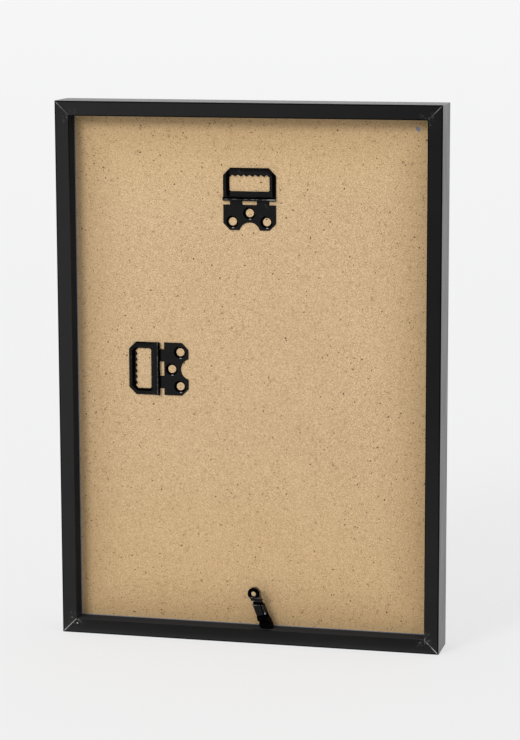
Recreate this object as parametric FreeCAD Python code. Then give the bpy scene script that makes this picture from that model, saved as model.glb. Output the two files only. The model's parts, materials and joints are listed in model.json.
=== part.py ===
import FreeCAD, Part
import math
import os

# Back-loading picture frame that hangs or stands on a table, all sizes in millimetres.
# The picture faces -Y, the back faces +Y, +Z is up.
# The origin lies under the middle of the frame, on the surface that it stands on.

# Moulding and what it holds, counted from the front
frame_width = 229.0
frame_height = 319.0
frame_depth = 25.0
rail_width = 8.75
lip_width = 13.5
edge_radius = 0.5
glazing_thickness = 2.0
insert_thickness = 0.3
board_thickness = 3.0
board_recess = 12.0
sheet_play = 0.5
groove_depth = 1.0
groove_end_play = 0.2
groove_side_play = 0.1

# Steel V nails that pull each mitre together
nail_leg = 4.0
nail_depth = 10.0
nail_thickness = 0.4
nail_inset = 1.8
nail_sink = 1.0

# Hinged sawtooth hangers, two alike
hanger_width = 31.5
hanger_sheet = 0.5
hinge_pin_radius = 0.55
hinge_fit = 0.05
barrel_lift = 0.3
knuckle_gap = 0.1
middle_knuckle = 8.4
strap_width = 7.4
loop_reach = 18.1
loop_chamfer = 4.3
loop_set_back = 0.2
window_width = 24.0
window_base = 4.5
window_corner = 0.8
tooth_count = 6
tooth_pitch = 3.45
tooth_depth = 1.2
tooth_root = 14.2
tooth_end_drop = 1.6
bead_margin = 0.25
bead_width = 3.4
bead_height = 0.75
bead_slope = 1.35
bead_start = 3.2
plate_shoulder = 3.4
plate_reach = 18.2
plate_chamfer = 4.0
scallop_radius = 6.3
scallop_depth = 4.6
collar_bore = 2.6
collar_mouth = 3.6
collar_wall = 0.45
collar_dip = 0.45
collar_bite = 1.0
collar_fit = 0.05
centre_collar_drop = 8.1
side_collar_drop = 13.2
side_collar_offset = 10.2

# Where the hangers sit on the board
top_hinge_drop = 56.4
top_hanger_offset = 0.5
side_hinge_inset = 58.3
side_hanger_rise = 1.5

# Folding stand leg on the inside of the bottom rail
flange_radius = 4.0
flange_thickness = 1.25
flange_offset = 10.6
flange_from_back = 5.6
shank_radius = 2.3
shank_length = 5.0
pivot_height = 5.45
pivot_from_back = 4.1
stand_pin_radius = 0.55
stand_fit = 0.05
ear_radius = 1.7
ear_gap = 0.3
ear_heel = 3.4
ear_foot_width = 7.7
ear_top_width = 6.9
pin_stick_out = 0.25
tongue_width = 2.6
tongue_side_gap = 0.15
tongue_rise_share = 0.7
leg_face = 1.6
leg_thickness = 5.0
leg_width = 6.2
leg_lean_angle = 21.0
leg_fold_angle = 128.0
land_width = 4.5
slot_width = 0.9
slot_depth = 1.3
neck_rise = 8.9
neck_length = 1.9
neck_depth = 0.6
neck_rim = 0.5
eye_rise = 15.25
eye_radius = 3.65
eye_bore = 1.5
eye_relief = 2.7
eye_web = 1.2
eye_thickness = 3.5
eye_boss_step = 0.4
eye_boss_wall = 1.0
pip_radius = 0.5
pip_rise = 3.8
pip_height = 0.35
rest_width = 11.6
rest_depth = 0.5
rest_run = 1.3

# Cutting solids run past what they cut by this much
overrun = 1.0

# Places worked out from the sizes above
half_width = frame_width / 2
half_depth = frame_depth / 2
back_y = half_depth
board_back_y = back_y - board_recess
board_front_y = board_back_y - board_thickness
insert_front_y = board_front_y - insert_thickness
glazing_front_y = insert_front_y - glazing_thickness
opening_width = frame_width - 2 * rail_width
opening_height = frame_height - 2 * rail_width
barrel_radius = hinge_pin_radius + hinge_fit + hanger_sheet
axis_height = barrel_lift + barrel_radius
half_hanger = hanger_width / 2
strap_inner = middle_knuckle / 2 + knuckle_gap
strap_outer = strap_inner + strap_width
chamfer_inset_share = math.tan(math.pi / 8)
lean_share = math.tan(math.radians(leg_lean_angle))
rail_top_z = rail_width
pivot_y = back_y - pivot_from_back
pivot_z = rail_top_z + pivot_height
flange_top_z = rail_top_z + flange_thickness
flange_y = back_y - flange_from_back
pivot_x = lean_share * (pivot_z - flange_top_z) - flange_offset
tongue_x = lean_share * (pivot_z - flange_top_z) * tongue_rise_share - flange_offset
shoulder_rise = ear_radius + ear_gap


def vec(x, y, z):
    return FreeCAD.Vector(x, y, z)


def box(x0, x1, y0, y1, z0, z1):
    """A box between two corners."""
    return Part.makeBox(x1 - x0, y1 - y0, z1 - z0, vec(x0, y0, z0))


def prism(points, run):
    """A straight prism over a closed outline of points, drawn out along a vector."""
    return Part.Face(Part.makePolygon(points + [points[0]])).extrude(run)


def cylinder(radius, start, run):
    """A round bar from a point along a vector."""
    return Part.makeCylinder(radius, run.Length, start, run)


def eased_outline(corners):
    """A closed wire in the YZ plane through (y, z, radius) corners, round where radius isn't zero."""
    starts, edges = [], []
    count = len(corners)
    for i, (y, z, radius) in enumerate(corners):
        here = vec(0, y, z)
        before = vec(0, *corners[i - 1][:2])
        after = vec(0, *corners[(i + 1) % count][:2])
        back = (before - here).normalize()
        on = (after - here).normalize()
        if radius:
            middle = here + (back + on) * radius * (1 - math.sqrt(0.5))
            arc_ends = (here + back * radius, middle, here + on * radius)
        else:
            arc_ends = (here, here, here)
        starts.append(arc_ends)
    for i, (first, middle, last) in enumerate(starts):
        if first != last:
            edges.append(Part.Arc(first, middle, last).toShape())
        edges.append(Part.makeLine(last, starts[(i + 1) % count][0]))
    return Part.Wire(edges)


def rail(length):
    """A mitred length of moulding that lies along X with its outer face at z = 0."""
    groove_back = board_back_y + groove_side_play
    groove_front = board_front_y - groove_side_play
    groove_floor = rail_width - groove_depth
    outline = eased_outline([
        (-half_depth, 0, edge_radius),
        (back_y, 0, edge_radius),
        (back_y, rail_width, edge_radius),
        (groove_back, rail_width, 0),
        (groove_back, groove_floor, 0),
        (groove_front, groove_floor, 0),
        (groove_front, rail_width, 0),
        (glazing_front_y, rail_width, 0),
        (glazing_front_y, lip_width, 0),
        (-half_depth, lip_width, edge_radius),
    ])
    bar = Part.Face(outline).extrude(vec(length, 0, 0))
    bar.translate(vec(-length / 2, 0, 0))
    mitre = prism([
        vec(-length / 2, -frame_depth, 0),
        vec(length / 2, -frame_depth, 0),
        vec(length / 2 - lip_width, -frame_depth, lip_width),
        vec(lip_width - length / 2, -frame_depth, lip_width),
    ], vec(0, 2 * frame_depth, 0))
    return bar.common(mitre)


def corner_nail(side, level):
    """A V nail sunk in one mitre, side -1 or +1 along X, level 0 at the bottom or 1 at the top."""
    tip = rail_width - nail_inset
    tail = tip - nail_leg
    inner = tip - nail_thickness
    rise = 1 - 2 * level
    start_y = back_y - nail_sink - nail_depth
    corners = [(tip, tip), (tail, tip), (tail, inner), (inner, inner), (inner, tail), (tip, tail)]
    points = [
        vec(side * (half_width - a), start_y, level * frame_height + rise * b)
        for a, b in corners
    ]
    return prism(points, vec(0, nail_depth, 0))


def stand_rest():
    """The shallow notch in the back edge of the bottom rail that the swung-out leg leans over."""
    return box(
        pivot_x - rest_width / 2, pivot_x + rest_width / 2,
        back_y - rest_run, back_y + overrun,
        rail_top_z - rest_depth, rail_top_z + overrun,
    )


def upright(radius, start_z, end_z):
    """A round bar along Z on the stand's own axis."""
    return cylinder(radius, vec(-flange_offset, flange_y, start_z), vec(0, 0, end_z - start_z))


def shank():
    """The plug under the stand's flange, which fills its hole in the bottom rail."""
    return upright(shank_radius, rail_top_z - shank_length, rail_top_z)


def rails(nails):
    """The four rails by name, with the nail slots and the stand's hole and notch cut."""
    bottom = rail(frame_width)
    top = rail(frame_width)
    top.rotate(vec(0, 0, 0), vec(0, 1, 0), 180)
    top.translate(vec(0, 0, frame_height))
    left = rail(frame_height)
    left.rotate(vec(0, 0, 0), vec(0, 1, 0), 90)
    left.translate(vec(-half_width, 0, frame_height / 2))
    right = rail(frame_height)
    right.rotate(vec(0, 0, 0), vec(0, 1, 0), -90)
    right.translate(vec(half_width, 0, frame_height / 2))
    bottom = bottom.cut([shank(), stand_rest()])
    found = {"rail_bottom": bottom, "rail_top": top, "rail_left": left, "rail_right": right}
    return {name: shape.cut(nails) for name, shape in found.items()}


def sheet(width, height, front_y, thickness):
    """A flat sheet centred in the opening."""
    middle = frame_height / 2
    return box(
        -width / 2, width / 2, front_y, front_y + thickness,
        middle - height / 2, middle + height / 2,
    )


def place_hanger(shape, name):
    """Moves a hanger piece from its own axes to the board: u along the hinge, v up the loop."""
    if name == "top":
        turn = FreeCAD.Matrix(-1, 0, 0, 0, 0, 0, 1, 0, 0, 1, 0, 0, 0, 0, 0, 1)
        seat = vec(top_hanger_offset, board_back_y, frame_height - top_hinge_drop)
    else:
        turn = FreeCAD.Matrix(0, 1, 0, 0, 0, 0, 1, 0, 1, 0, 0, 0, 0, 0, 0, 1)
        seat = vec(half_width - side_hinge_inset, board_back_y, frame_height / 2 + side_hanger_rise)
    placed = shape.transformed(turn, copy=True)
    placed.translate(seat)
    return placed


def knuckles(spans):
    """Rolled barrel lengths over u spans, still without the bore for the pin."""
    return [
        cylinder(barrel_radius, vec(start, 0, axis_height), vec(end - start, 0, 0))
        for start, end in spans
    ]


def bore_space(bore):
    """The pin's space along the whole hinge."""
    return cylinder(bore, vec(-hanger_width, 0, axis_height), vec(2 * hanger_width, 0, 0))


def across(radius, y, z):
    """A round bar along X through (y, z), longer than the frame is wide."""
    return cylinder(radius, vec(-frame_width, y, z), vec(2 * frame_width, 0, 0))


def collar_places():
    """Centres of the three pressed collars in the fixed plate."""
    return [
        (0, -centre_collar_drop),
        (-side_collar_offset, -side_collar_drop),
        (side_collar_offset, -side_collar_drop),
    ]


def turned(points, u, v):
    """A ring about the hole axis through (u, v) from (radius, height) points."""
    outline = [vec(r, 0, w) for r, w in points]
    ring = Part.Face(Part.makePolygon(outline + [outline[0]])).revolve(vec(0, 0, 0), vec(0, 0, 1), 360)
    ring.translate(vec(u, v, 0))
    return ring


def collar(u, v):
    """A funnel pressed through the plate, whose tube bites into the board."""
    outer = collar_bore + collar_wall
    return turned([
        (collar_mouth, hanger_sheet),
        (collar_bore, -collar_dip),
        (collar_bore, -collar_bite),
        (outer, -collar_bite),
        (outer, -collar_dip),
        (collar_mouth + collar_wall, 0),
        (collar_mouth + collar_wall, hanger_sheet),
    ], u, v)


def collar_seat(u, v):
    """The ring that a collar presses into the board's back."""
    outer = collar_bore + collar_wall + collar_fit
    rim = collar_mouth + collar_wall + collar_fit
    return turned([
        (collar_bore - collar_fit, overrun),
        (collar_bore - collar_fit, -collar_bite - collar_fit),
        (outer, -collar_bite - collar_fit),
        (outer, -collar_dip),
        (rim, 0),
        (rim, overrun),
    ], u, v)


def hanger_plate():
    """The fixed leaf: plate, two straps, two knuckles and three collars."""
    up = vec(0, 0, hanger_sheet)
    body = prism([
        vec(-half_hanger, -plate_shoulder, 0),
        vec(-half_hanger, plate_chamfer - plate_reach, 0),
        vec(plate_chamfer - half_hanger, -plate_reach, 0),
        vec(half_hanger - plate_chamfer, -plate_reach, 0),
        vec(half_hanger, plate_chamfer - plate_reach, 0),
        vec(half_hanger, -plate_shoulder, 0),
    ], up)
    through = vec(0, 0, 2 * overrun + hanger_sheet)
    scallop_v = scallop_depth - plate_reach - scallop_radius
    body = body.cut(cylinder(scallop_radius, vec(0, scallop_v, -overrun), through))
    spans = [(-strap_outer, -strap_inner), (strap_inner, strap_outer)]
    for start, end in spans:
        body = body.fuse(box(start, end, -plate_shoulder, 0, 0, hanger_sheet))
    body = body.fuse(knuckles(spans))
    for u, v in collar_places():
        hole = cylinder(collar_mouth, vec(u, v, -overrun), through)
        body = body.cut(hole).fuse(collar(u, v))
    return body.cut(bore_space(hinge_pin_radius)).removeSplitter()


def loop_edge(inset, foot):
    """Points round the loop's outer edge, moved inwards by an inset, from foot to foot."""
    side = half_hanger - inset
    top = loop_reach - inset
    bend = inset * chamfer_inset_share
    start_v = loop_reach - loop_chamfer - bend
    start_u = half_hanger - loop_chamfer - bend
    return [
        (-side, foot), (-side, start_v), (-start_u, top),
        (start_u, top), (side, start_v), (side, foot),
    ]


def bead(margin, width, slope, bottom_w, top_w, foot):
    """A pressed stiffening bead round the loop, sloped on every side."""
    low_out, low_in = margin, margin + width
    high_out, high_in = low_out + slope, low_in - slope
    low = loop_edge(low_out, foot) + loop_edge(low_in, foot)[::-1]
    high = loop_edge(high_out, foot + slope) + loop_edge(high_in, foot + slope)[::-1]
    wires = []
    for outline, w in ((low, bottom_w), (high, top_w)):
        points = [vec(u, v, w) for u, v in outline]
        wires.append(Part.makePolygon(points + [points[0]]))
    return Part.makeLoft(wires, True, True)


def loop_window():
    """The hanging window, whose upper edge is cut into teeth."""
    side = window_width / 2
    row = [(side, tooth_root - tooth_end_drop)]
    for i in range(tooth_count, -1, -1):
        valley_u = (i - tooth_count / 2) * tooth_pitch
        row.append((valley_u, tooth_root))
        if i:
            row.append((valley_u - tooth_pitch / 2, tooth_root - tooth_depth))
    row.append((-side, tooth_root - tooth_end_drop))
    corners = [
        (-side, window_base + window_corner), (window_corner - side, window_base),
        (side - window_corner, window_base), (side, window_base + window_corner),
    ]
    points = [vec(u, v, -overrun) for u, v in corners + row]
    return prism(points, vec(0, 0, 2 * overrun + 2 * axis_height))


def hanger_loop():
    """The swinging leaf: a chamfered loop with a bead, a toothed window and three knuckles."""
    low = barrel_lift
    high = barrel_lift + hanger_sheet
    foot = barrel_radius + loop_set_back
    plan = [vec(u, v, low) for u, v in loop_edge(0, foot)]
    leaf = prism(plan, vec(0, 0, hanger_sheet))
    leaf = leaf.fuse(bead(bead_margin, bead_width, bead_slope, high, high + bead_height, bead_start))
    hollow_margin = bead_margin + hanger_sheet
    hollow_width = bead_width - 2 * hanger_sheet
    hollow_slope = bead_slope - hanger_sheet / 2
    hollow_foot = bead_start + hanger_sheet
    leaf = leaf.cut(bead(
        hollow_margin, hollow_width, hollow_slope, low, high + bead_height - hanger_sheet, hollow_foot,
    ))
    outer = strap_outer + knuckle_gap
    half_middle = middle_knuckle / 2
    spans = [(-half_hanger, -outer), (-half_middle, half_middle), (outer, half_hanger)]
    for start, end in spans:
        leaf = leaf.fuse(box(start, end, 0, foot, low, high))
    leaf = leaf.fuse(knuckles(spans))
    leaf = leaf.cut(loop_window())
    return leaf.cut(bore_space(hinge_pin_radius + hinge_fit)).removeSplitter()


def hanger_pin():
    """The hinge wire, as long as the barrel."""
    return cylinder(hinge_pin_radius, vec(-half_hanger, 0, axis_height), vec(hanger_width, 0, 0))


def board():
    """The hardboard back, with a pressed ring for every collar."""
    reach = 2 * (groove_depth - groove_end_play)
    panel = sheet(opening_width + reach, opening_height + reach, board_front_y, board_thickness)
    seats = [collar_seat(u, v) for u, v in collar_places()]
    for name in ("top", "side"):
        panel = panel.cut([place_hanger(seat, name) for seat in seats])
    return panel


def stand_base():
    """The plug, its flange and the two ears that carry the leg's pin, joined behind and below."""
    flange = upright(flange_radius, rail_top_z, flange_top_z)
    fold = math.radians(leg_fold_angle)
    clear = leg_face + ear_gap
    toe_y = pivot_y + ear_radius
    toe_z = pivot_z - (clear - ear_radius * math.cos(fold)) / math.sin(fold)
    waist_y = pivot_y + clear * math.cos(fold)
    waist_z = pivot_z - clear * math.sin(fold)
    cheek = prism([
        vec(-frame_width, pivot_y - ear_heel, pivot_z + ear_radius),
        vec(-frame_width, pivot_y - ear_heel, flange_top_z),
        vec(-frame_width, toe_y, flange_top_z),
        vec(-frame_width, toe_y, toe_z),
        vec(-frame_width, waist_y, waist_z),
        vec(-frame_width, pivot_y, pivot_z),
        vec(-frame_width, pivot_y, pivot_z + ear_radius),
    ], vec(2 * frame_width, 0, 0))
    cheek = cheek.fuse(across(ear_radius, pivot_y, pivot_z))
    top_z = pivot_z + ear_radius + overrun
    top_x = lean_share * (top_z - flange_top_z) - flange_offset
    front = prism([
        vec(-flange_offset - ear_foot_width / 2, 0, flange_top_z),
        vec(-flange_offset + ear_foot_width / 2, 0, flange_top_z),
        vec(top_x + ear_top_width / 2, 0, top_z),
        vec(top_x - ear_top_width / 2, 0, top_z),
    ], vec(0, frame_depth, 0))
    ears = cheek.common(front)
    half_gap = tongue_width / 2 + tongue_side_gap
    slot_start = tongue_x - half_gap
    slot_end = tongue_x + half_gap
    swept = math.hypot(leg_face, shoulder_rise) + ear_gap
    ears = ears.cut([
        box(slot_start, slot_end, pivot_y - clear, pivot_y, pivot_z - clear, top_z),
        box(slot_start, slot_end, pivot_y, frame_depth, pivot_z - swept, top_z),
        box(slot_start, slot_end, toe_y - ear_gap, frame_depth, flange_top_z, top_z),
    ])
    ears = ears.cut(across(stand_pin_radius, pivot_y, pivot_z))
    return shank().fuse([flange, ears]).removeSplitter()


def stand_pin():
    """The pin through both ears."""
    half = ear_top_width / 2 + pin_stick_out
    return cylinder(stand_pin_radius, vec(pivot_x - half, pivot_y, pivot_z), vec(2 * half, 0, 0))


def leaning(left, right, low, high, near_y, far_y):
    """A leaning block of the leg: left and right are measured from its middle line."""
    points = []
    for rise, aside in ((low, left), (low, right), (high, right), (high, left)):
        points.append(vec(pivot_x + lean_share * rise + aside, near_y, pivot_z + rise))
    return prism(points, vec(0, far_y - near_y, 0))


def stand_leg():
    """The leg: tongue on the pin, slotted body, grooved neck and an eye at the tip."""
    face_y = pivot_y + leg_face
    inner_y = face_y - leg_thickness
    half = leg_width / 2
    tongue_left = tongue_x - tongue_width / 2
    tongue = cylinder(leg_face, vec(tongue_left, pivot_y, pivot_z), vec(tongue_width, 0, 0))
    tongue = tongue.fuse(box(
        tongue_left, tongue_left + tongue_width,
        pivot_y - leg_face, pivot_y + leg_face, pivot_z, pivot_z + shoulder_rise,
    ))
    body = leaning(-half, half, shoulder_rise, neck_rise, inner_y, face_y)
    slot_end = half - land_width
    body = body.cut(leaning(
        slot_end - slot_width, slot_end, 0, neck_rise - neck_rim,
        face_y - slot_depth, face_y + overrun,
    ))
    neck_top = neck_rise + neck_length
    neck = leaning(
        neck_depth - half, half - neck_depth, neck_rise, neck_top,
        inner_y + neck_depth, face_y - neck_depth,
    )
    eye_x = pivot_x + lean_share * eye_rise
    eye_z = pivot_z + eye_rise
    eye_inner_y = face_y - eye_thickness
    eye = cylinder(eye_radius, vec(eye_x, eye_inner_y, eye_z), vec(0, eye_thickness, 0))
    stem = leaning(-half, half, neck_top, eye_rise, eye_inner_y, face_y - eye_boss_step)
    collar_top = leaning(-half, half, neck_top, neck_top + neck_rim, inner_y, face_y)
    head = eye.fuse([stem, collar_top])
    head = head.cut([
        cylinder(eye_bore, vec(eye_x, inner_y, eye_z), vec(0, 2 * leg_thickness, 0)),
        cylinder(eye_relief, vec(eye_x, eye_inner_y, eye_z), vec(0, eye_thickness - eye_web, 0)),
    ])
    dish = cylinder(
        eye_radius, vec(eye_x, face_y - eye_boss_step, eye_z), vec(0, leg_thickness, 0),
    ).cut(cylinder(
        eye_radius - eye_boss_wall, vec(eye_x, 0, eye_z), vec(0, frame_depth, 0),
    ))
    head = head.cut(dish)
    land_x = pivot_x + lean_share * pip_rise + (slot_end - slot_width - half) / 2
    pip_y = face_y + pip_height - pip_radius
    pip = Part.makeSphere(pip_radius, vec(land_x, pip_y, pivot_z + pip_rise))
    leg = tongue.fuse([body, neck, head, pip])
    return leg.cut(across(stand_pin_radius + stand_fit, pivot_y, pivot_z)).removeSplitter()


def save(name, shape):
    """Writes one piece as its own solid."""
    shape.exportStep("parts/" + name + ".step")
    print(name, "valid" if shape.isValid() else "BROKEN", len(shape.Solids), round(shape.Volume, 2))


def main():
    os.makedirs("parts", exist_ok=True)
    nails = {
        "nail_bottom_left": corner_nail(-1, 0),
        "nail_bottom_right": corner_nail(1, 0),
        "nail_top_left": corner_nail(-1, 1),
        "nail_top_right": corner_nail(1, 1),
    }
    pieces = dict(rails(list(nails.values())))
    pieces.update(nails)
    glazing_width = opening_width - 2 * sheet_play
    glazing_height = opening_height - 2 * sheet_play
    pieces["glazing"] = sheet(glazing_width, glazing_height, glazing_front_y, glazing_thickness)
    pieces["insert_sheet"] = sheet(glazing_width, glazing_height, insert_front_y, insert_thickness)
    pieces["back_board"] = board()
    for name in ("top", "side"):
        pieces[name + "_hanger_plate"] = place_hanger(hanger_plate(), name)
        pieces[name + "_hanger_loop"] = place_hanger(hanger_loop(), name)
        pieces[name + "_hanger_pin"] = place_hanger(hanger_pin(), name)
    pieces["stand_base"] = stand_base()
    pieces["stand_pin"] = stand_pin()
    pieces["stand_leg"] = stand_leg()
    for name, shape in pieces.items():
        save(name, shape)


main()
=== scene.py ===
import json
import math

import bmesh
import bpy
from mathutils import Matrix, Vector

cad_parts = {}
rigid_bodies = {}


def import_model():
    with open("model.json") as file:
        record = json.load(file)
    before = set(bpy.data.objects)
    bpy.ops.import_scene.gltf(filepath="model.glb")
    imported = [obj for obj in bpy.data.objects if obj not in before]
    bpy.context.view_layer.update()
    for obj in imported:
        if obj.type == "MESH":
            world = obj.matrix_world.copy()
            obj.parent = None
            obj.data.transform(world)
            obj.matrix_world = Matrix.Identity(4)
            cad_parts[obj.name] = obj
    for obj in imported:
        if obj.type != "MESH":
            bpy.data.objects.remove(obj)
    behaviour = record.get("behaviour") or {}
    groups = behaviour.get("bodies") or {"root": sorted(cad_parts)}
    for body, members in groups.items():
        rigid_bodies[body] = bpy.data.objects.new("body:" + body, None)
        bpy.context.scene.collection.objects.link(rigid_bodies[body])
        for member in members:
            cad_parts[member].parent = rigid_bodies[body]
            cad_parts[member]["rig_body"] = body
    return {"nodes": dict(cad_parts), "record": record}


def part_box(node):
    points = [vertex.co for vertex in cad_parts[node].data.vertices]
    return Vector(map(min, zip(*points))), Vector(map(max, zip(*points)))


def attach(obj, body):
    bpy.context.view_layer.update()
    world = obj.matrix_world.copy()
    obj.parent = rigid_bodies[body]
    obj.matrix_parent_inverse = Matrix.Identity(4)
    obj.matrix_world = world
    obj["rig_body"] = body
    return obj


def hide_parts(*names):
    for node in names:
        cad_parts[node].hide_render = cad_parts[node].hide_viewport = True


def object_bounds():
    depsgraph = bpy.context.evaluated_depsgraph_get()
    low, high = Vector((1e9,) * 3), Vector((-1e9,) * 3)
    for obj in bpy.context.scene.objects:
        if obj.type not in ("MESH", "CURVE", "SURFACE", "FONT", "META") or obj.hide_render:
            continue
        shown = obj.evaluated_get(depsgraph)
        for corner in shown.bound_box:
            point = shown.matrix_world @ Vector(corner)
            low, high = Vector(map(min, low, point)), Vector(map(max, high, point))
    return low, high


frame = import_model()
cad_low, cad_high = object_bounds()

# Back of a black picture frame, in metres. +Z is up and +Y points out of the back.
MM = 0.001

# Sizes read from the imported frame
half_width = cad_high.x
back_y = cad_high.y
full_height = cad_high.z
board_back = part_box("back_board")[1].y

# Width of the rails' back faces
rail_width = 8.75 * MM

# The photograph's camera, fitted to the eight corners of the outline
camera_yaw = 13.606
camera_pitch = 9.577
camera_roll = 0.189
camera_distance = 1.4914
camera_aim = Vector((-5.19 * MM, 0, 162.23 * MM))
camera_lens = 123.81

# Light, and how much darker reflections of the backdrop get towards +Y
shown_white = 0.92
ambient_level = 0.68
mirrored_fall = 0.86
key_place = Vector((0.95, 2.2, 1.45))
key_size = 0.85
key_power = 34.0

# Floor: its tone in the light, as the camera sees it, and in reflections on the back's side
floor_reach = 60.0
floor_tone = (0.8, 0.8, 0.8)
floor_shown = (0.25, 0.25, 0.255)
floor_unlit = (0.2, 0.2, 0.2)
glow_near = 0.644
glow_far = 0.12
glow_distance = 1.5

# Sizes of masks: half the blurred edge of a drawn shape, and the bands along the rails, some of them
# painted light and shade
soft_edge = 0.1 * MM
mitre_line = 0.42 * MM
mitre_bright = 6.5 * MM
corner_rub = 5.5 * MM
rim_shade_band = 1.0 * MM
foot_light_band = 2.2 * MM
ledge_light_band = 4.0 * MM
recess_depth = 4.0 * MM
rail_shade_reach = 34.0 * MM

# Hangers: a name, and whether the hinge line runs along X. Lengths are from that line.
hanger_kinds = (("top", True), ("side", False))
barrel_radius = 1.1 * MM
collar_spots = ((0, -8.1 * MM), (-10.2 * MM, -13.2 * MM), (10.2 * MM, -13.2 * MM))
collar_bore = 2.35 * MM
collar_mouth = 3.6 * MM
collar_rim = 4.2 * MM
funnel_rise = 0.4 * MM
funnel_shift = Vector((0.45 * MM, 0, -0.15 * MM))
lip_shift = 0.3 * MM
lip_length = 0.9 * MM
lip_width = 0.34 * MM
highlight_line = 0.42 * MM
highlight_end = 9.5 * MM
window_edge = 11.9 * MM
bar_middle = 13.75 * MM
bars_start = 1.6 * MM
bars_end = 16.2 * MM

# The loop's topmost bar, down from its upper edge
bar_high = 0.6 * MM
bar_low = 3.4 * MM

# Stand leg, from the pivot of its hinge: up along the leg, and aside towards +X
joints = {joint["name"]: joint for joint in frame["record"]["behaviour"]["joints"]}
leg_pivot = Vector(joints["leg_hinge"]["pos_m"])
leg_lean = math.tan(math.radians(21.0))
leg_front = leg_pivot.y + 1.6 * MM
leg_eye = leg_pivot + Vector((leg_lean, 0, 1)) * 15.25 * MM
leg_pip = leg_pivot + Vector((leg_lean * 3.8 - 2.7, 1.45, 3.8)) * MM
heel_up = 2.75 * MM
land_up = 8.4 * MM
low_rim_up = 8.5 * MM
slot_up = 9.4 * MM
groove_up = 9.65 * MM
high_rim_up = 10.7 * MM
eye_foot_up = 12.9 * MM
slot_aside = -1.9 * MM
land_aside = -2.2 * MM
flank_aside = -2.9 * MM

# Drawn on the board: shade under the barrels and round the collars, and light behind the leg's eye
shade_start = 0.2 * MM
shade_end = 1.5 * MM
ring_shift = 0.1 * MM
eye_reach = 2.6 * MM
eye_core = 1.6 * MM
eye_light = Vector((leg_eye.x + 2.2 * MM, board_back, leg_eye.z - 1.6 * MM))

# Small marks seen in the photograph
ink_mark = Vector((-98.1 * MM, board_back, 304.4 * MM))
ink_length = 2.9 * MM
ink_width = 1.7 * MM
rail_nick = Vector((105.3 * MM, back_y, 6.0 * MM))
nick_reach = 0.6 * MM

# Copies that stand for CAD pieces: doubles merged, flats joined, edges rounded, and the thinner paper
weld = 0.002 * MM
flat_angle = math.radians(0.5)
sharp_angle = math.radians(32)
pressed_edge = 0.12 * MM
moulded_edge = 0.16 * MM
paper_share = 0.8

# Flakes on the board: their shading angle, and the bare margin along the rails
flake_angle = math.radians(35)
fleck_margin = 1.0 * MM


def placed(name, data):
    """A new object at the origin that holds a mesh, a lamp or a lens."""
    piece = bpy.data.objects.new(name, data)
    bpy.context.scene.collection.objects.link(piece)
    return piece


def baked(piece):
    """Turns what a piece's modifiers make into its plain mesh."""
    graph = bpy.context.evaluated_depsgraph_get()
    graph.update()
    made = bpy.data.meshes.new_from_object(piece.evaluated_get(graph))
    made.name = piece.name
    piece.modifiers.clear()
    piece.data = made
    return piece


class Value:
    """A number worked out by the shader. Operators on it add Math nodes."""

    def __init__(self, shader, socket):
        self.shader = shader
        self.socket = socket

    def __add__(self, other):
        return self.shader.math("ADD", self, other)

    def __sub__(self, other):
        return self.shader.math("SUBTRACT", self, other)

    def __rsub__(self, other):
        return self.shader.math("SUBTRACT", other, self)

    def __mul__(self, other):
        return self.shader.math("MULTIPLY", self, other)

    def __truediv__(self, other):
        return self.shader.math("DIVIDE", self, other)

    def __abs__(self):
        return self.shader.math("ABSOLUTE", self)

    __radd__ = __add__
    __rmul__ = __mul__


class Graph:
    """A tree of nodes, whose sockets take constants, links or worked-out values."""

    def __init__(self, tree):
        self.tree = tree

    def plug(self, socket, value):
        """Gives a socket a link or a constant."""
        if isinstance(value, Value):
            value = value.socket
        if isinstance(value, bpy.types.NodeSocket):
            self.tree.links.new(value, socket)
        elif isinstance(value, tuple) and len(value) == 3 and socket.type == "RGBA":
            socket.default_value = (*value, 1)
        else:
            socket.default_value = value

    def node(self, kind, settings=None, inputs=None):
        """Any node: its settings come first, then its sockets by name or number."""
        made = self.tree.nodes.new(kind)
        for name, value in (settings or {}).items():
            setattr(made, name, value)
        for name, value in (inputs or {}).items():
            self.plug(made.inputs[name], value)
        return made

    def math(self, operation, *values):
        made = self.node("ShaderNodeMath", {"operation": operation}, dict(enumerate(values)))
        return Value(self, made.outputs[0])

    def least(self, first, *others):
        for other in others:
            first = self.math("MINIMUM", first, other)
        return first

    def most(self, first, *others):
        for other in others:
            first = self.math("MAXIMUM", first, other)
        return first

    def rise(self, value, start, end):
        """0 below start, 1 above end and a smooth step between them. Start may be the larger."""
        made = self.node(
            "ShaderNodeMapRange", {"interpolation_type": "SMOOTHSTEP"},
            {"Value": value, "From Min": start, "From Max": end},
        )
        return Value(self, made.outputs["Result"])

    def along(self, where):
        """The x, y and z of a place or direction."""
        parts = self.node("ShaderNodeSeparateXYZ", inputs={0: where})
        return [Value(self, parts.outputs[i]) for i in range(3)]

    def rays(self):
        """1 for camera, glossy and transmitted rays, and 1 for glossy ones alone."""
        kinds = self.node("ShaderNodeLightPath").outputs
        camera, glossy, through = (
            Value(self, kinds["Is " + kind + " Ray"]) for kind in ("Camera", "Glossy", "Transmission")
        )
        return self.most(camera, glossy, through), glossy


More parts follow.
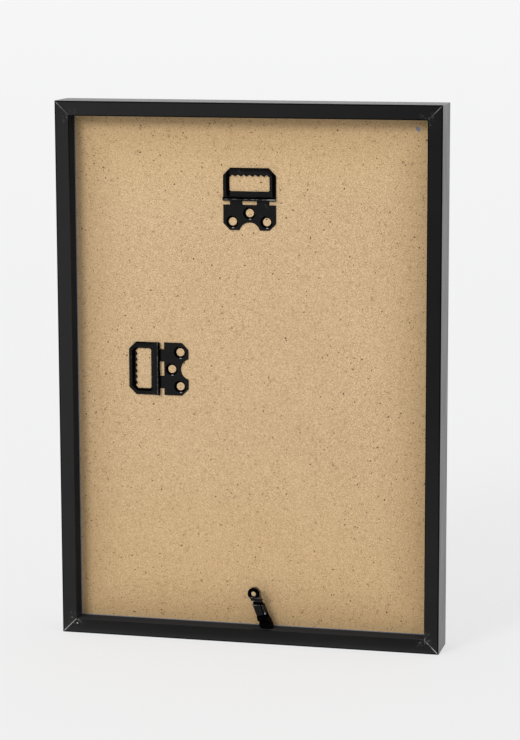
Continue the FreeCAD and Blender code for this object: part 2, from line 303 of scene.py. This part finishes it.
class Shader(Graph):
    """A material with a Principled shader at its base."""

    def __init__(self, name, **constants):
        self.material = bpy.data.materials.new(name)
        self.material.use_nodes = True
        super().__init__(self.material.node_tree)
        self.surface = self.tree.nodes["Principled BSDF"]
        self.feed(**constants)

    def feed(self, **values):
        """Sets sockets of the Principled shader, named with underscores for spaces."""
        for name, value in values.items():
            self.plug(self.surface.inputs[name.replace("_", " ")], value)

    def over(self, share, **values):
        """Lays a second Principled shader over the first, by a share between 0 and 1."""
        above = self.node("ShaderNodeBsdfPrincipled", inputs={
            name.replace("_", " "): value for name, value in values.items()
        })
        mixed = self.node("ShaderNodeMixShader", inputs={
            0: share, 1: self.surface.outputs[0], 2: above.outputs[0],
        })
        self.tree.links.new(mixed.outputs[0], self.tree.nodes["Material Output"].inputs["Surface"])

    def place(self):
        """The point's own place in the row frame, whole and as x, y and z."""
        where = self.node("ShaderNodeTexCoord").outputs["Object"]
        return where, *self.along(where)

    def stretched(self, where, scale, turn=(0, 0, 0)):
        """The place along turned axes, with what is drawn on it stretched along each of them."""
        made = self.node(
            "ShaderNodeMapping", {"vector_type": "TEXTURE"},
            {"Vector": where, "Rotation": turn, "Scale": scale},
        )
        return made.outputs["Vector"]

    def noise(self, where, scale, detail=3.0, roughness=0.5, distortion=0.0):
        made = self.node("ShaderNodeTexNoise", inputs={
            "Vector": where, "Scale": scale, "Detail": detail,
            "Roughness": roughness, "Distortion": distortion,
        })
        return Value(self, made.outputs["Fac"])

    def near(self, where, point, reach, core=0.0):
        """1 within the core distance of a point, 0 farther from it than reach."""
        made = self.node("ShaderNodeVectorMath", {"operation": "DISTANCE"}, {
            0: where, 1: tuple(point),
        })
        return self.rise(Value(self, made.outputs["Value"]), reach, core)

    def disc(self, where, point, radius):
        """1 inside a round spot, 0 outside it."""
        return self.near(where, point, radius + soft_edge, radius - soft_edge)

    def inside(self, x, z, low_x, high_x, low_z, high_z):
        """1 inside a rectangle seen from the back, 0 outside it."""
        half_x, half_z = (high_x - low_x) / 2, (high_z - low_z) / 2
        beside = self.rise(abs(x - (low_x + half_x)), half_x + soft_edge, half_x - soft_edge)
        above = self.rise(abs(z - (low_z + half_z)), half_z + soft_edge, half_z - soft_edge)
        return beside * above

    def blend(self, share, first, second):
        """A colour between two colours."""
        made = self.node("ShaderNodeMix", {"data_type": "RGBA"}, {0: share, 6: first, 7: second})
        return made.outputs[2]

    def bump(self, height, depth):
        """A surface normal from a height between 0 and 1 that stands for a depth in metres."""
        made = self.node("ShaderNodeBump", inputs={
            "Height": height, "Distance": depth, "Strength": 1.0,
        })
        self.feed(Normal=made.outputs["Normal"])


def frame_lacquer():
    """Black lacquered moulding: satin outside, matt inside the recess, rubbed at the mitres, with
    painted light and shade.
    """
    s = Shader("frame_lacquer", Specular_IOR_Level=0.5)
    where, x, y, z = s.place()
    grain = s.noise(where, 900.0, 4.0, 0.6)
    cloud = s.noise(where, 60.0, 3.0)
    streak = s.noise(s.stretched(where, (1.0, 1.0, 30.0)), 700.0, 2.0)

    # Distances in from the outer faces, and the faces of the moulding that they give
    from_side = half_width - abs(x)
    from_end = s.least(z, full_height - z)
    depth = s.least(from_side, from_end)
    outer = s.rise(depth, 0.45 * MM, 0.1 * MM)
    inner = s.rise(depth, rail_width - 0.4 * MM, rail_width - 0.05 * MM)
    recess = inner * s.rise(y, board_back - recess_depth, board_back - recess_depth + 0.5 * MM)

    # Wear: a pale line along each mitre, crumbs round the inner corners, and one nick
    across = abs(from_side - from_end)
    corner = s.rise(s.most(from_side, from_end), rail_width + 0.6 * MM, rail_width - 0.6 * MM)
    low = s.rise(z, 0.1, 0.05)
    patchy = s.rise(s.noise(where, 300.0, 3.0), 0.34, 0.56)
    ends = s.rise(depth, mitre_bright, 2.0 * MM)
    mitre = s.rise(across, mitre_line, 0.12 * MM) * corner
    mitre = mitre * (patchy * 0.6 + 0.4) * (low * 0.55 + 0.12 + ends * 0.3)
    from_corner = s.most(abs(from_side - rail_width), abs(from_end - rail_width))
    crumbs = s.rise(s.noise(where, 700.0, 5.0, 0.7), 0.52, 0.62)
    rubbed = s.rise(from_corner, corner_rub, 0.8 * MM) * crumbs
    nick = s.near(where, rail_nick, nick_reach, nick_reach / 3)
    worn = s.most(mitre, rubbed * (low * 0.12 + 0.13), nick)

    # The black, a random cloud with painted light and shade over it: deepest on the bottom rail,
    # greyer towards +X and low on the -X side
    shaded_low_rail = s.rise(from_side - from_end, 0.0, 0.1 * MM) * s.rise(z, 20.0 * MM, 10.0 * MM)
    lit_low_side = s.rise(z, 0.17, 0.05) * s.rise(x, 0.0, -0.05)
    share = cloud * 0.3 + 0.35 + x * 4.0 + lit_low_side * 0.45 - shaded_low_rail * 0.6
    black = s.blend(share, (0.006, 0.006, 0.0063), (0.018, 0.018, 0.0185))
    s.feed(Base_Color=s.blend(worn, black, (0.5, 0.49, 0.48)))
    satin = outer * (streak - 0.5) * 0.35 - outer * 0.13
    s.feed(Roughness=0.45 + satin + (grain - 0.5) * 0.12 + worn * 0.2)
    s.bump(grain, 0.02 * MM)

    # Without gloss: the recess, with painted light in a pale bluish band along its foot and on its
    # bottom ledge, and painted shade in black rims along the back's arrises
    lit_foot = s.rise(y, board_back + foot_light_band, board_back + foot_light_band / 2)
    lit_foot = lit_foot * s.rise(x + z * -0.8, -0.23, -0.1)
    lit_ledge = s.rise(z, rail_width + ledge_light_band, rail_width + ledge_light_band / 2)
    matt = s.blend(cloud, (0.019, 0.019, 0.0195), (0.027, 0.027, 0.0275))
    matt = s.blend(lit_ledge, matt, (0.034, 0.034, 0.036))
    matt = s.blend(lit_foot, matt, (0.2, 0.245, 0.32))
    outer_rim_shade = s.rise(depth, 0.15 * MM, 0.3 * MM) * s.rise(depth, rim_shade_band, 0.7 * MM)
    inner_rim_shade = s.rise(depth, rail_width - 0.8 * MM, rail_width - 0.5 * MM) * s.rise(z - x, 0.1, 0.2)
    rim_shade = s.most(outer_rim_shade, inner_rim_shade) * s.rise(y, back_y - 0.6 * MM, back_y - 0.3 * MM)
    s.over(
        s.most(recess, rim_shade * 0.8), Base_Color=s.blend(rim_shade, matt, (0.001, 0.001, 0.001)),
        Roughness=1.0, Specular_IOR_Level=0.0,
    )
    return s.material


def hinge_point(hanger):
    """The middle of a hanger's hinge line, from its pin's box."""
    low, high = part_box(hanger + "_hanger_pin")
    return (low + high) / 2


def collars(hinge, upright):
    """The middles of a hanger's three pressed collars, on the board's face."""
    for u, v in collar_spots:
        centre = hinge + (Vector((u, 0, v)) if upright else Vector((v, 0, u)))
        centre.y = board_back
        yield centre


def barrel_shade():
    """(low x, high x, low z, high z) of the dark line under each barrel, on the board."""
    for hanger, upright in hanger_kinds:
        low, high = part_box(hanger + "_hanger_pin")
        middle = hinge_point(hanger)
        if upright:
            yield low.x, high.x, middle.z + shade_start, middle.z + shade_end
        else:
            yield middle.x + shade_start, middle.x + shade_end, low.z, high.z


def hardboard():
    """Tan hardboard: fine felted fibres in all directions, curled ones, painted light and shade, and a
    mark of ink.
    """
    s = Shader("hardboard", Roughness=0.75, Specular_IOR_Level=0.2)
    where, x, _, z = s.place()
    cloud = s.noise(where, 22.0, 4.0, 0.6)
    mottle = s.noise(where, 260.0, 3.0, 0.6)
    fine = s.noise(where, 2300.0, 3.0, 0.7)
    strand = s.most(*(
        s.noise(s.stretched(where, (1.0, 1.0, 3.0), (0, turn, 0)), 2400.0, 2.0, 0.5, 0.3)
        for turn in (0.5, 1.35, 2.3)
    ))
    curl = s.rise(abs(s.noise(where, 380.0, 2.0, 0.5, 0.6) - 0.5), 0.03, 0.01)
    curl = curl * s.rise(s.noise(where, 300.0), 0.57, 0.64)

    # Tan, with painted light and shade: more orange low and high on the board, where the light falls
    # off from its paler middle, and darker towards the rails, which shade it; flecks and curls are
    # drawn thicker near the rails
    from_side = half_width - rail_width - abs(x)
    from_end = s.least(z - rail_width, full_height - rail_width - z)
    rail_shade = s.rise(s.least(from_side, from_end), rail_shade_reach, 0)
    tone = (cloud - 0.5) * 0.2 + (mottle - 0.5) * 0.25 + (fine - 0.5) * 3.8 + (strand - 0.6) * 2.4
    tan = s.blend(s.rise(tone + 0.5, 0.05, 0.95), (0.425, 0.288, 0.147), (0.77, 0.565, 0.35))
    light_falloff = s.most(s.rise(z, 0.16, 0.02), s.rise(z, 0.24, 0.32) * 1.2)
    tan = s.blend(light_falloff * 0.15, tan, (0.64, 0.4, 0.14))
    tan = s.blend(rail_shade * 0.4, tan, (0.42, 0.27, 0.125))
    tan = s.blend(curl * (rail_shade * 0.3 + 0.5), tan, (0.22, 0.135, 0.06))
    speck = s.rise(s.noise(where, 1000.0, 1.0), 0.68, 0.75) * (rail_shade * 0.8 + 0.12)
    tan = s.blend(speck, tan, (0.17, 0.1, 0.045))

    # Shade under the barrels and round the collars, and a lighter spot behind the leg's eye
    for line in barrel_shade():
        tan = s.blend(s.inside(x, z, *line), tan, (0.012, 0.01, 0.009))
    for hanger, upright in hanger_kinds:
        for centre in collars(hinge_point(hanger), upright):
            centre.x -= ring_shift
            ring_shade = s.disc(where, centre, collar_rim) * (1 - s.disc(where, centre, collar_bore))
            tan = s.blend(ring_shade, tan, (0.004, 0.004, 0.004))
    lighter = s.near(where, eye_light, eye_reach, eye_core)
    tan = s.blend(lighter * 0.5, tan, (0.76, 0.57, 0.35))

    # The ink: a slanted oval with a ragged edge
    beside, above = x - ink_mark.x, z - ink_mark.z
    length, width = (beside + above) * (1 / ink_length), (above - beside) * (1 / ink_width)
    ragged = s.noise(where, 1200.0, 2.0) * 0.5
    inked = s.rise(s.math("SQRT", length * length + width * width) + ragged, 1.25, 0.85)
    s.feed(Base_Color=s.blend(inked * 0.85, tan, (0.15, 0.21, 0.33)))
    s.bump(fine * 0.5 + strand * 0.5, 0.03 * MM)
    return s.material


def fleck_stuff(name, tone, other):
    """Bits of bark or pale fibre pressed into the hardboard."""
    s = Shader(name, Roughness=0.8, Specular_IOR_Level=0.15)
    where, *_ = s.place()
    s.feed(Base_Color=s.blend(s.rise(s.noise(where, 130.0), 0.35, 0.65), tone, other))
    s.bump(s.noise(where, 2500.0), 0.01 * MM)
    return s.material


def enamel(hanger, upright):
    """Black enamel on pressed steel: a painted highlight along the barrel, and holes with painted
    shade inside and a painted highlight on the lower lip.
    """
    s = Shader(hanger + "_enamel", Specular_IOR_Level=0.5)
    where, x, y, z = s.place()
    hinge = hinge_point(hanger)
    side = (z - hinge.z) if upright else (x - hinge.x)
    grain = s.noise(where, 1400.0, 3.0)
    blotch = s.noise(where, 420.0, 4.0, 0.65)

    # A painted highlight: a patchy line along the barrel, brightest at the upright hanger's -X end.
    # Wear: scratches
    ridge = s.rise(y - hinge.y, 0.6 * barrel_radius, 0.9 * barrel_radius)
    line_side = 0.0 if upright else 0.2 * MM
    line = ridge * s.rise(abs(side - line_side), highlight_line, 0.1 * MM)
    patchy = s.rise(s.noise(where, 380.0, 3.0, 0.6), 0.4, 0.66)
    end = s.rise(hinge.x - x, highlight_end, 12.0 * MM) if upright else 0.0
    line = line * s.most(patchy * (0.26 if upright else 0.14) + 0.02, end * 0.6)
    turned = s.stretched(where, (1.0, 1.0, 10.0), (0, 0.7, 0))
    scratch = s.rise(s.noise(turned, 1500.0, 2.0), 0.66, 0.74)
    scratch = scratch * s.rise(s.noise(where, 110.0), 0.52, 0.62)

    # Painted shade inside each pressed hole, and a painted highlight on its lower lip
    funnel_shade = lip_highlight = 0.0
    for centre in collars(hinge, upright):
        centre.y += funnel_rise
        funnel_shade = s.most(funnel_shade, s.disc(where, centre + funnel_shift, collar_mouth - 2 * soft_edge))
        spot = s.rise(abs(x - centre.x + lip_shift), lip_length, lip_length / 3)
        lip_highlight = s.most(lip_highlight, spot * s.rise(abs(z - centre.z + collar_mouth), lip_width, 0.12 * MM))
    # Painted highlights along the barrel and on the lips, and worn scratches, all drawn as pale bare
    # metal
    highlight_and_wear = s.most(line, scratch * (0.06 if upright else 0.25), lip_highlight * 0.6)
    black = s.blend(blotch, (0.0035, 0.0035, 0.0037), (0.006, 0.0059, 0.0062))
    s.feed(Base_Color=s.blend(highlight_and_wear, black, (0.6, 0.59, 0.58)), Metallic=highlight_and_wear * 0.2)
    s.feed(Roughness=0.27 + (grain - 0.5) * 0.2 + highlight_and_wear * 0.2)
    s.bump(grain, 0.01 * MM)

    # Painted shade, without gloss: what faces -X, what faces up anywhere but on the topmost bar, and
    # the holes
    facing_x, _, facing_z = s.along(
        s.node("ShaderNodeAttribute", {"attribute_name": "facing"}).outputs["Vector"]
    )
    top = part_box(hanger + "_hanger_loop")[1].z
    bar = s.rise(z, top - bar_low - soft_edge, top - bar_low + soft_edge)
    bar = bar * s.rise(z, top - bar_high + soft_edge, top - bar_high - soft_edge)
    facing_shade = s.most(s.rise(facing_x * -1, 0.06, 0.16), s.rise(facing_z, 0.06, 0.16) * (1 - bar))
    if upright:
        # Painted shade on the halves of the upright bars, drawn as if they sloped towards -X
        aside = x - hinge.x
        inner_half_shade = s.rise(aside, bar_middle + soft_edge, bar_middle - soft_edge)
        inner_half_shade = inner_half_shade * s.rise(aside, window_edge - 0.5 * MM, window_edge)
        outer_half_shade = s.rise(aside * -1, bar_middle - soft_edge, bar_middle + soft_edge)
        bars = s.rise(side, bars_start - 0.3 * MM, bars_start)
        bars = bars * s.rise(side, bars_end + 0.4 * MM, bars_end)
        facing_shade = s.most(facing_shade, s.most(inner_half_shade, outer_half_shade) * bars)
    s.over(
        s.most(funnel_shade, facing_shade) * (1 - lip_highlight) * (1 - line * 0.9),
        Base_Color=(0.0012, 0.0012, 0.0012), Roughness=1.0, Specular_IOR_Level=0.0,
    )
    return s.material


def wire_steel():
    """Drawn steel, blackened, with fine marks."""
    s = Shader("wire_steel", Metallic=1.0)
    where, *_ = s.place()
    marks = s.noise(where, 1800.0, 2.0)
    s.feed(Base_Color=s.blend(marks, (0.06, 0.06, 0.062), (0.16, 0.16, 0.165)))
    s.feed(Roughness=0.3 + marks * 0.2)
    return s.material


def leg_plastic():
    """Satin black moulding, with painted highlights at the neck's rims, the eye's foot and the pip."""
    s = Shader("leg_plastic", Specular_IOR_Level=0.5)
    where, x, y, z = s.place()
    skin = s.noise(where, 1100.0, 3.0)
    patch = s.noise(where, 700.0, 2.0)
    up = z - leg_pivot.z
    aside = x - leg_pivot.x - up * leg_lean

    # Painted highlights at the neck's rims, the eye's foot and the pip, and painted light on the -X
    # land
    face = s.rise(y, leg_front - 0.5 * MM, leg_front - 0.25 * MM)
    left = s.rise(aside, 0.6 * MM, 2.2 * MM)
    low_rim_highlight = s.rise(abs(up - low_rim_up), 0.3 * MM, 0.1 * MM)
    low_rim_highlight = low_rim_highlight * (s.rise(patch, 0.42, 0.6) * 0.25 + left * 0.12)
    high_rim_highlight = s.rise(abs(up - high_rim_up), 0.45 * MM, 0.15 * MM) * (left * 0.8 + 0.04)
    lit_foot = s.rise(abs(up - eye_foot_up), 0.8 * MM, 0.2 * MM) * s.rise(patch, 0.48, 0.6) * 0.22
    lit_land = s.rise(aside, land_aside, land_aside - 0.2 * MM) * s.rise(up, land_up, land_up - 0.4 * MM)
    pip_highlight = s.near(where, leg_pip, 0.75 * MM, 0.45 * MM) * 0.7
    pale = s.most(low_rim_highlight * face, high_rim_highlight * face, lit_foot * face, lit_land * 0.03, pip_highlight)
    s.feed(Base_Color=s.blend(pale, (0.006, 0.006, 0.0063), (0.6, 0.6, 0.6)))
    s.feed(Roughness=0.3 + (skin - 0.5) * 0.2 + pale * 0.2)
    s.bump(skin, 0.01 * MM)

    # Painted shade, without gloss: the slot, the groove round the neck, the eye's ring, the heel and
    # the -X flank
    slot_shade = s.rise(abs(aside - slot_aside), 0.5 * MM, 0.35 * MM)
    slot_shade = slot_shade * s.rise(up, slot_up, slot_up - 0.2 * MM)
    groove_shade = s.rise(abs(up - groove_up), 0.85 * MM, 0.7 * MM)
    sunk = s.rise(y, leg_front - 0.1 * MM, leg_front - 0.25 * MM)
    skin_front = s.rise(y, leg_front - 0.6 * MM, leg_front - 0.4 * MM)
    ring_shade = s.rise(up, eye_foot_up, eye_foot_up + 0.8 * MM) * skin_front
    heel_shade = s.rise(up + aside * 0.22, heel_up, heel_up - 0.15 * MM)
    flank_shade = s.rise(aside, flank_aside, flank_aside - 0.15 * MM) * s.rise(up, 13.0 * MM, 11.0 * MM)
    s.over(
        s.most(slot_shade, groove_shade * sunk, ring_shade, heel_shade, flank_shade * 0.75), Base_Color=(0.0015, 0.0015, 0.0016),
        Roughness=1.0, Specular_IOR_Level=0.0,
    )
    return s.material


def base_plastic():
    """Dull black moulding of the stand's base and its blackened pin."""
    s = Shader("base_plastic", Specular_IOR_Level=0.04)
    where, *_ = s.place()
    skin = s.noise(where, 1100.0, 3.0)
    s.feed(Base_Color=s.blend(skin, (0.0012, 0.0012, 0.0013), (0.0022, 0.0022, 0.0023)))
    s.feed(Roughness=0.75 + (skin - 0.5) * 0.2)
    s.bump(skin, 0.01 * MM)
    return s.material


def paper():
    """Bare uncoated paper behind the glazing."""
    s = Shader("paper", Roughness=0.85, Specular_IOR_Level=0.2)
    where, *_ = s.place()
    pulp = s.noise(where, 700.0, 4.0, 0.65)
    cloud = s.noise(where, 40.0)
    s.feed(Base_Color=s.blend(pulp * 0.7 + cloud * 0.3, (0.8, 0.785, 0.75), (0.88, 0.87, 0.84)))
    s.bump(pulp, 0.02 * MM)
    return s.material


def clear_sheet():
    """Thin clear acrylic: nearly unseen face on, mirror-like along its face, with hairline marks."""
    s = Shader("clear_sheet", Base_Color=(0.93, 0.95, 0.95), Roughness=0.3, Specular_IOR_Level=0.0)
    where, *_ = s.place()
    hair = s.rise(s.noise(s.stretched(where, (1.0, 1.0, 10.0), (0, 0.6, 0)), 5000.0, 2.0), 0.7, 0.8)
    s.feed(Alpha=hair * 0.06 + 0.04)
    grazing = Value(s, s.node("ShaderNodeLayerWeight", inputs={"Blend": 0.5}).outputs["Facing"])
    mirrored = s.math("POWER", grazing, 5.0) * 0.96 + 0.04
    s.over(mirrored, Base_Color=(1.0, 1.0, 1.0), Metallic=1.0, Roughness=0.03)
    return s.material


def shown_for(piece, node, finish):
    """Dresses a piece that stands for a CAD piece, hides that piece, and gives the new one its body.
    """
    piece.data.materials.clear()
    piece.data.materials.append(finish)
    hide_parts(node)
    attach(piece, frame["nodes"][node]["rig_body"])


def faced(piece):
    """Keeps the way that each corner of a mesh faces in an attribute of its own."""
    kept = piece.data.attributes.new("facing", "FLOAT_VECTOR", "CORNER")
    for corner, normal in zip(kept.data, piece.data.corner_normals):
        corner.vector = normal.vector
    return piece


def softened(node, name, width, finish, segments=2):
    """A copy of a CAD piece with its sharp edges rounded, which then stands for it."""
    mesh = frame["nodes"][node].data.copy()
    mesh.name = name
    form = bmesh.new()
    form.from_mesh(mesh)
    bmesh.ops.remove_doubles(form, verts=form.verts, dist=weld)
    bmesh.ops.dissolve_limit(form, angle_limit=flat_angle, verts=form.verts, edges=form.edges)
    form.to_mesh(mesh)
    form.free()
    mesh.shade_smooth()
    piece = placed(name, mesh)
    bevel = piece.modifiers.new("round", "BEVEL")
    bevel.width = width
    bevel.segments = segments
    bevel.limit_method = "ANGLE"
    bevel.angle_limit = sharp_angle
    bevel.miter_outer = "MITER_ARC"
    bevel.harden_normals = True
    flat = piece.modifiers.new("flat", "WEIGHTED_NORMAL")
    flat.keep_sharp = True
    shown_for(faced(baked(piece)), node, finish)


def loosened(node, name, finish):
    """A thinner copy of a sheet, which stands for it and shares no face with its neighbours."""
    mesh = frame["nodes"][node].data.copy()
    mesh.name = name
    low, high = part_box(node)
    middle = (low.y + high.y) / 2
    for vertex in mesh.vertices:
        vertex.co.y = middle + (vertex.co.y - middle) * paper_share
    shown_for(placed(name, mesh), node, finish)


class Nodes(Graph):
    """A Geometry Nodes tree with named inputs."""

    def __init__(self, name):
        super().__init__(bpy.data.node_groups.new(name, "GeometryNodeTree"))
        self.tree.interface.new_socket("Geometry", in_out="OUTPUT", socket_type="NodeSocketGeometry")
        self.sockets = {}
        self.start = self.tree.nodes.new("NodeGroupInput")
        self.end = self.tree.nodes.new("NodeGroupOutput")

    def take(self, name, kind):
        """Adds a named input and returns the socket that gives it."""
        made = self.tree.interface.new_socket(name, in_out="INPUT", socket_type=kind)
        self.sockets[name] = made.identifier
        return self.start.outputs[name]

    def put(self, piece, **values):
        """Runs the tree on a piece with these inputs and keeps the plain mesh."""
        modifier = piece.modifiers.new(self.tree.name, "NODES")
        modifier.node_group = self.tree
        for name, value in values.items():
            modifier[self.sockets[name.replace("_", " ")]] = value
        return baked(piece)


def fleck_tree():
    """Scatters thin flakes over a surface, each turned and sized at random."""
    t = Nodes("pressed_flecks")
    surface = t.take("Surface", "NodeSocketGeometry")
    density = t.take("Per square metre", "NodeSocketFloat")
    smallest = t.take("Smallest", "NodeSocketVector")
    largest = t.take("Largest", "NodeSocketVector")
    seed = t.take("Seed", "NodeSocketInt")
    stuff = t.take("Stuff", "NodeSocketMaterial")
    spread = t.node("GeometryNodeDistributePointsOnFaces", inputs={
        "Mesh": surface, "Density": density, "Seed": seed,
    })
    size = t.node("FunctionNodeRandomValue", {"data_type": "FLOAT_VECTOR"}, {
        0: smallest, 1: largest, "Seed": seed,
    })
    turn = t.node("FunctionNodeRandomValue", {"data_type": "FLOAT_VECTOR"}, {
        0: (0, 0, 0), 1: (0, 0, 2 * math.pi), "Seed": seed,
    })
    flake = t.node("GeometryNodeMeshIcoSphere", inputs={"Radius": 0.5, "Subdivisions": 1})
    laid = t.node("GeometryNodeInstanceOnPoints", inputs={
        "Points": spread.outputs["Points"], "Instance": flake.outputs["Mesh"],
        "Rotation": spread.outputs["Rotation"], "Scale": size.outputs[0],
    })
    turned = t.node("GeometryNodeRotateInstances", inputs={
        "Instances": laid.outputs["Instances"], "Rotation": turn.outputs[0],
    })
    real = t.node("GeometryNodeRealizeInstances", inputs={"Geometry": turned.outputs["Instances"]})
    dressed = t.node("GeometryNodeSetMaterial", inputs={
        "Geometry": real.outputs["Geometry"], "Material": stuff,
    })
    t.tree.links.new(dressed.outputs["Geometry"], t.end.inputs[0])
    return t


def visible_board(name):
    """The board's back face between the rails, facing out of the back."""
    side = half_width - rail_width - fleck_margin
    low = rail_width + fleck_margin
    high = full_height - rail_width - fleck_margin
    corners = [(side, low), (-side, low), (-side, high), (side, high)]
    mesh = bpy.data.meshes.new(name)
    mesh.from_pydata([(x, board_back, z) for x, z in corners], [], [(0, 1, 2, 3)])
    return placed(name, mesh)


def flecks():
    """Bark flecks and pale fibres pressed into the hardboard's face."""
    tree = fleck_tree()
    bark = fleck_stuff("bark", (0.025, 0.013, 0.006), (0.13, 0.075, 0.033))
    pale = fleck_stuff("pale_fibre", (0.66, 0.5, 0.31), (0.74, 0.58, 0.38))

    # Name, number per square metre, smallest and largest flake in millimetres, seed and material
    kinds = [
        ("bark_flecks", 3600.0, (0.8, 0.6, 0.03), (1.5, 1.0, 0.06), 11, bark),
        ("bark_dust", 13000.0, (0.5, 0.4, 0.03), (0.95, 0.65, 0.05), 23, bark),
        ("pale_fibres", 2600.0, (0.7, 0.1, 0.02), (2.2, 0.22, 0.04), 5, pale),
    ]
    for name, density, smallest, largest, seed, stuff in kinds:
        piece = tree.put(
            visible_board(name), Per_square_metre=density,
            Smallest=[v * MM for v in smallest], Largest=[v * MM for v in largest],
            Seed=seed, Stuff=stuff,
        )
        piece.data.shade_smooth()
        piece.data.set_sharp_from_angle(angle=flake_angle)
        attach(piece, "root")


def dress(node, finish):
    """Gives a CAD piece its finish."""
    mesh = frame["nodes"][node].data
    mesh.materials.clear()
    mesh.materials.append(finish)


def hangers():
    """Both hangers: pressed loops and leaves with softened edges, and their wires."""
    wire = wire_steel()
    for hanger, upright in hanger_kinds:
        finish = enamel(hanger, upright)
        softened(hanger + "_hanger_loop", hanger + "_loop_pressing", pressed_edge, finish)
        softened(hanger + "_hanger_plate", hanger + "_plate_pressing", pressed_edge, finish)
        dress(hanger + "_hanger_pin", wire)


def stand():
    """The folding leg, and the base that carries it on a black pin."""
    softened("stand_leg", "leg_moulding", moulded_edge, leg_plastic(), 3)
    finish = base_plastic()
    softened("stand_base", "base_moulding", moulded_edge, finish, 3)
    dress("stand_pin", finish)


def rails_and_sheets():
    """The rails, board, glazing and nails in their CAD form, and the loosened paper."""
    lacquer = frame_lacquer()
    for side in ("bottom", "top", "left", "right"):
        dress("rail_" + side, lacquer)
    dress("back_board", hardboard())
    dress("glazing", clear_sheet())
    loosened("insert_sheet", "paper_sheet", paper())
    steel = wire_steel()
    for end in ("bottom", "top"):
        for side in ("left", "right"):
            dress("nail_" + end + "_" + side, steel)


def floor():
    """The pale floor, which runs on to the horizon. Reflections show it dark on the back's side."""
    mesh = bpy.data.meshes.new("floor")
    reach = floor_reach
    mesh.from_pydata(
        [(-reach, -reach, 0), (reach, -reach, 0), (reach, reach, 0), (-reach, reach, 0)],
        [], [(0, 1, 2, 3)],
    )
    s = Shader("floor", Roughness=1.0, Specular_IOR_Level=0.0, Emission_Strength=1.0)
    _, _, y, _ = s.place()
    shown, glossy = s.rays()
    away = s.most(y * -1.0, 0.0)
    unlit = glossy * s.rise(y, back_y, 2 * back_y)
    glow = away / (away + glow_distance) * glow_far + glow_near
    s.feed(Base_Color=s.blend(unlit, s.blend(shown, floor_tone, floor_shown), floor_unlit))
    s.feed(Emission_Color=glow * shown * (1 - unlit))
    mesh.materials.append(s.material)
    placed("floor", mesh)


def world():
    """Soft even light, shown as near white, with reflections that are darker towards +Y."""
    sky = bpy.data.worlds.new("studio")
    sky.use_nodes = True
    bpy.context.scene.world = sky
    g = Graph(sky.node_tree)
    shown, glossy = g.rays()
    direction = g.node("ShaderNodeTexCoord").outputs["Generated"]
    towards_y = g.rise(g.along(direction)[1], 0.1, 0.4)
    white = shown_white - glossy * towards_y * mirrored_fall
    level = shown * (white - ambient_level) + ambient_level
    backdrop = g.tree.nodes["Background"]
    g.plug(backdrop.inputs["Color"], (1.0, 1.0, 1.0))
    g.plug(backdrop.inputs["Strength"], level)


def key_light():
    """A large soft lamp above and to the left of someone who looks at the back. Nothing mirrors it."""
    lamp = bpy.data.lights.new("key", "AREA")
    lamp.shape = "SQUARE"
    lamp.size = key_size
    lamp.energy = key_power
    holder = placed("key", lamp)
    holder.visible_glossy = False
    holder.location = key_place
    aim = Vector((0, 0, full_height / 2)) - key_place
    holder.rotation_euler = aim.to_track_quat("-Z", "Y").to_euler()


def camera():
    """The photograph's camera: yaw and pitch from straight behind, then a slight roll."""
    yaw, pitch, roll = (math.radians(a) for a in (camera_yaw, camera_pitch, camera_roll))
    ahead = Vector((
        math.sin(yaw) * math.cos(pitch),
        -math.cos(yaw) * math.cos(pitch),
        -math.sin(pitch),
    ))
    right = Vector((-math.cos(yaw), -math.sin(yaw), 0))
    down = ahead.cross(right)
    rolled_right = right * math.cos(roll) + down * math.sin(roll)
    rolled_down = down * math.cos(roll) - right * math.sin(roll)
    turn = Matrix((rolled_right, -rolled_down, -ahead)).transposed()
    lens = bpy.data.cameras.new("camera")
    lens.lens = camera_lens
    lens.clip_end = 3 * floor_reach
    holder = placed("camera", lens)
    holder.matrix_world = Matrix.Translation(camera_aim - ahead * camera_distance) @ turn.to_4x4()
    bpy.context.scene.camera = holder


camera()
rails_and_sheets()
flecks()
hangers()
stand()
floor()
world()
key_light()
bpy.context.scene.view_settings.view_transform = "Standard"
